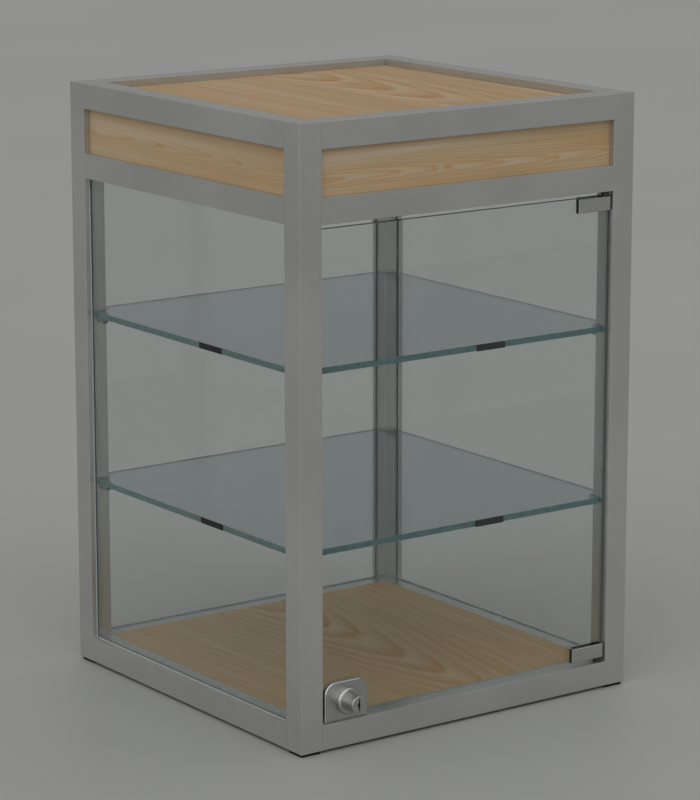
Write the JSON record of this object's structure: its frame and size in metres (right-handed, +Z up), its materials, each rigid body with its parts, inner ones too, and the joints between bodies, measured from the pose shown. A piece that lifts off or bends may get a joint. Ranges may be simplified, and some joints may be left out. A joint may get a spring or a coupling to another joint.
{
  "type": "countertop display case",
  "caption": "Upright countertop display case: square metal tube frame, fixed glass panes, locking glass swing door, notched glass shelves, and wooden base, header and top.",
  "frame": {"origin": "middle of the bounding box's underside, on the surface that the feet stand on; the lock's nose is inside the box, so the frame's middle is 10 mm behind the origin", "axes": "+Z up, +X to the right as seen from the door side, -Y out of the door side"},
  "size_m": [0.4, 0.42, 0.603],
  "materials": {
    "frame": "satin, silver-grey",
    "corner_block": "moulded",
    "wood": "matt, long grain",
    "pane": "clear",
    "door": "clear, polished edges",
    "shelf": "clear, polished blue-green edges",
    "seal": "matt",
    "buffer": "matt",
    "stud": "clear",
    "foot": "matt",
    "screw": "zinc plated",
    "polished": "polished",
    "liner": "matt",
    "bush": "matt",
    "gasket": "matt",
    "fastener": "zinc plated"
  },
  "bodies": {
    "case": {"post_front_left": "frame", "post_front_right": "frame", "post_rear_right": "frame", "post_rear_left": "frame", "rail_bottom_front": "frame", "rail_bottom_right": "frame", "rail_bottom_rear": "frame", "rail_bottom_left": "frame", "rail_middle_front": "frame", "rail_middle_right": "frame", "rail_middle_rear": "frame", "rail_middle_left": "frame", "rail_top_front": "frame", "rail_top_right": "frame", "rail_top_rear": "frame", "rail_top_left": "frame", "corner_blocks_bottom": "corner_block", "corner_blocks_middle": "corner_block", "corner_blocks_top": "corner_block", "base_board": "wood", "ceiling_board": "wood", "top_board": "wood", "fascia_front": "wood", "fascia_right": "wood", "fascia_rear": "wood", "fascia_left": "wood", "pane_right": "pane", "pane_rear": "pane", "pane_left": "pane", "seal_right": "seal", "seal_rear": "seal", "seal_left": "seal", "base_board_screws": "screw", "foot_screws": "screw", "shelf_lower": "shelf", "shelf_upper": "shelf", "shelf_buffers_lower": "buffer", "shelf_buffers_upper": "buffer", "shelf_studs_lower": "stud", "shelf_studs_upper": "stud", "feet": "foot", "pivot_bush_lower": "bush", "pivot_bush_upper": "bush"},
    "door": {"door_glass": "door", "hinge_clamp_lower": "polished", "hinge_clamp_upper": "polished", "hinge_liners": "liner", "hinge_grub_screws": "screw", "lock_case": "polished", "lock_gaskets": "gasket", "lock_washer": "fastener", "lock_nut": "fastener"},
    "lock": {"lock_plug": "polished", "lock_cam": "fastener", "lock_cam_screw": "screw"}
  },
  "joints": [
    {"name": "door_hinge", "type": "hinge", "parent": "case", "child": "door", "pos_m": [0.169, -0.1846, 0], "axis": [0, 0, 1], "range_deg": [0, 100]},
    {"name": "lock_turn", "type": "hinge", "parent": "door", "child": "lock", "pos_m": [-0.1462, -0.19, 0.048], "axis": [0, 1, 0], "range_deg": [0, 90]}
  ]
}
